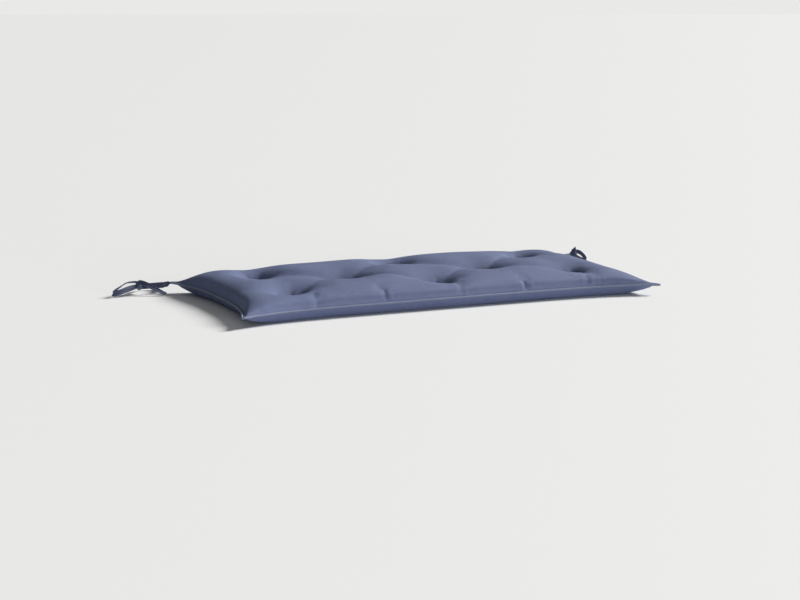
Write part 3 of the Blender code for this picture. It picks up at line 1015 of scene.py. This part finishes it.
def layTape(name, rows, rootShare, endShare, fold):
    path, length = smoothPath([Vector(row) for row in rows], tieTape["step"])
    across = tieTape["across"]
    bpy.ops.object.select_all(action="DESELECT")
    bpy.ops.mesh.primitive_grid_add(x_subdivisions=len(path) - 1, y_subdivisions=across, size=2)
    ribbon = bpy.context.object
    ribbon.name = name
    ribbon.data.uv_layers[0].name = "cloth"
    for loop in ribbon.data.uv_layers["cloth"].data:
        loop.uv = (loop.uv.x * length, loop.uv.y * tieTape["width"])
    wearAndHighlight = []
    for vertex in ribbon.data.vertices:
        k = round((vertex.co.x + 1) / 2 * (len(path) - 1))
        share = vertex.co.y
        here = path[k]
        along = (path[min(k + 1, len(path) - 1)].xyz - path[max(k - 1, 0)].xyz).normalized()
        side = along.cross(Vector((0, 0, 1))).normalized()
        up = side.cross(along)
        turn = math.radians(here.w)
        fromRoot = 1 - smoothStep(k * tieTape["step"] / tieTape["gather"])
        fromEnd = 1 - smoothStep((len(path) - 1 - k) * tieTape["step"] / tieTape["gather"])
        width = tieTape["width"] * (1 - (1 - rootShare) * fromRoot - (1 - endShare) * fromEnd)
        spread = up * math.cos(turn) + side * math.sin(turn)
        back = tieTape["bulge"] * share * share + tieTape["waviness"] * math.sin(5 * share + k / 14)
        folded = fold * smoothStep((tieTape["foldPlace"] - share) / tieTape["foldWidth"])
        cup = spread.cross(along) * (back - folded)
        vertex.co = here.xyz + spread * (share * (width - tieTape["thickness"]) / 2) + cup
        wearAndHighlight.append(tieTape["edgeWear"] * edgeRub(share))
    setFloats(ribbon, "wearAndHighlight", wearAndHighlight)
    thick = ribbon.modifiers.new("thickness", "SOLIDIFY")
    thick.thickness = tieTape["thickness"]
    thick.offset = 0
    applyModifier(ribbon, thick)
    return ribbon, length


def makeKnot(name):
    bpy.ops.object.select_all(action="DESELECT")
    bpy.ops.mesh.primitive_uv_sphere_add(segments=24, ring_count=16, radius=1.0)
    core = bpy.context.object
    core.name = name
    core.data.uv_layers[0].name = "cloth"
    core.scale = tieTape["knotRadii"]
    core.location = tieTape["knot"]
    settle(core)
    setFloats(core, "wearAndHighlight", [tieTape["knotWear"]] * len(core.data.vertices))
    return core


def makeWrap(name):
    # the turn of tape that holds the bow, gathered into soft pleats
    bpy.ops.object.select_all(action="DESELECT")
    bpy.ops.mesh.primitive_grid_add(x_subdivisions=48, y_subdivisions=12, size=2)
    band = bpy.context.object
    band.name = name
    band.data.uv_layers[0].name = "cloth"
    centre = Vector(tieTape["knot"])
    radii = Vector(tieTape["knotRadii"])
    girth = math.pi * (radii.y + radii.z)
    for loop in band.data.uv_layers["cloth"].data:
        loop.uv = (loop.uv.x * girth, loop.uv.y * tieTape["width"])
    lean = math.radians(wrap["lean"])
    wearAndHighlight = []
    for vertex in band.data.vertices:
        angle, share = vertex.co.x * math.pi, vertex.co.y
        pleat = wrap["pleat"] * math.cos(share * wrap["pleatTurn"] + wrap["pleatDrift"] * math.sin(angle))
        rise = pleat + wrap["crown"] * (1 - share * share)
        away = share * wrap["width"] / 2 * (1 + wrap["uneven"] * math.sin(angle + 1.0))
        hug = 1 - wrap["hug"] * share * share
        y = (radii.y + wrap["clear"] + rise) * hug * math.cos(angle)
        z = (radii.z + wrap["clear"] + rise) * hug * math.sin(angle)
        leanX = away * math.cos(lean) - y * math.sin(lean)
        leanY = away * math.sin(lean) + y * math.cos(lean)
        vertex.co = centre + Vector((leanX, leanY, z))
        wearAndHighlight.append(wrap["edgeWear"] * edgeRub(share) + wrap["wearAndHighlight"])
    setFloats(band, "wearAndHighlight", wearAndHighlight)
    fixNormals(band, merge=0.00001)
    thick = band.modifiers.new("thickness", "SOLIDIFY")
    thick.thickness = tieTape["thickness"]
    thick.offset = 0
    applyModifier(band, thick)
    return band


def makeTie(name, side, tie):
    tip = bodyTip + Vector(tieTape["outwards"]) * tieTape["rootPlace"]
    pieces = []
    total = 0.0
    for part, rootShare, endShare, fold in tieTape["parts"]:
        rows = tie[part] if part in tie else tieTape[part]
        ribbon, length = layTape(name + part, rows, rootShare, endShare, fold)
        pieces.append(ribbon)
        total += length
    pieces.append(makeKnot(name + "knot"))
    pieces.append(makeWrap(name + "wrap"))
    made = joinAll(pieces, name)
    for vertex in made.data.vertices:
        vertex.co = (side * (tip.x + vertex.co.x), tip.y + vertex.co.y, vertex.co.z)
    fixNormals(made)
    made.data.shade_smooth()
    made.data.materials.clear()
    made.data.materials.append(tapeMaterial)
    return made, total


tapeMaterial = clothMaterial("tape_cloth", tapeLook)
tieLeft, leftLength = makeTie("tie_left_tape", -1, leftTie)
tieRight, rightLength = makeTie("tie_right_tape", 1, rightTie)
print("ties tied", round(leftLength, 3), round(rightLength, 3))


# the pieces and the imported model

for piece, node, finish in (
    (body, "cushion_body", "fabric"),
    (edgePiping, "edge_piping", "piping_fabric"),
    (tieLeft, "tie_left", "tie_fabric"),
    (tieRight, "tie_right", "tie_fabric"),
):
    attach(piece, "root")
    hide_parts(node)


# floor, light and air

studio = {
    "floorSize": 900,
    "floorColour": (0.815, 0.815, 0.812),
    "floorRoughness": 0.8,
    "air": 0.165,
    "airColour": (0.93, 0.96, 1.0),
    "far": 0.817,           # how pale the air looks past the floor's end
    "farColour": (1.0, 1.0, 0.99),
    "lamps": [
        # name, where it shines from, softness in degrees, strength, colour
        ("keyLamp", (0.84, 0.14, 0.48), 20, 5.2, (1.0, 0.99, 0.97)),
        ("frontLamp", (0.15, -0.95, 0.08), 13, 1.35, (0.95, 0.98, 1.0)),
    ],
}

bpy.ops.object.select_all(action="DESELECT")
bpy.ops.mesh.primitive_plane_add(size=studio["floorSize"], location=(0, 0, 0))
floor = bpy.context.object
floor.name = "floor"
floorMaterial = bpy.data.materials.new("floor_paint")
floorMaterial.use_nodes = True
paint = floorMaterial.node_tree.nodes["Principled BSDF"]
paint.inputs["Base Color"].default_value = (*studio["floorColour"], 1.0)
paint.inputs["Roughness"].default_value = studio["floorRoughness"]
floor.data.materials.append(floorMaterial)

for name, shinesFrom, softness, strength, colour in studio["lamps"]:
    bpy.ops.object.light_add(type="SUN", location=Vector(shinesFrom) * 3)
    lamp = bpy.context.object
    lamp.name = name
    lamp.rotation_euler = (-Vector(shinesFrom)).to_track_quat("-Z", "Y").to_euler()
    lamp.data.angle = math.radians(softness)
    lamp.data.energy = strength
    lamp.data.color = colour

world = bpy.data.worlds.new("air")
world.use_nodes = True
air = world.node_tree.nodes["Background"]
air.inputs["Color"].default_value = (*studio["airColour"], 1.0)
air.inputs["Strength"].default_value = studio["air"]
far = world.node_tree.nodes.new("ShaderNodeBackground")
far.inputs["Color"].default_value = (*studio["farColour"], 1.0)
far.inputs["Strength"].default_value = studio["far"]
seen = world.node_tree.nodes.new("ShaderNodeLightPath")
either = world.node_tree.nodes.new("ShaderNodeMixShader")
world.node_tree.links.new(seen.outputs["Is Camera Ray"], either.inputs["Fac"])
world.node_tree.links.new(air.outputs[0], either.inputs[1])
world.node_tree.links.new(far.outputs[0], either.inputs[2])
world.node_tree.links.new(either.outputs[0], world.node_tree.nodes["World Output"].inputs["Surface"])
scene.world = world
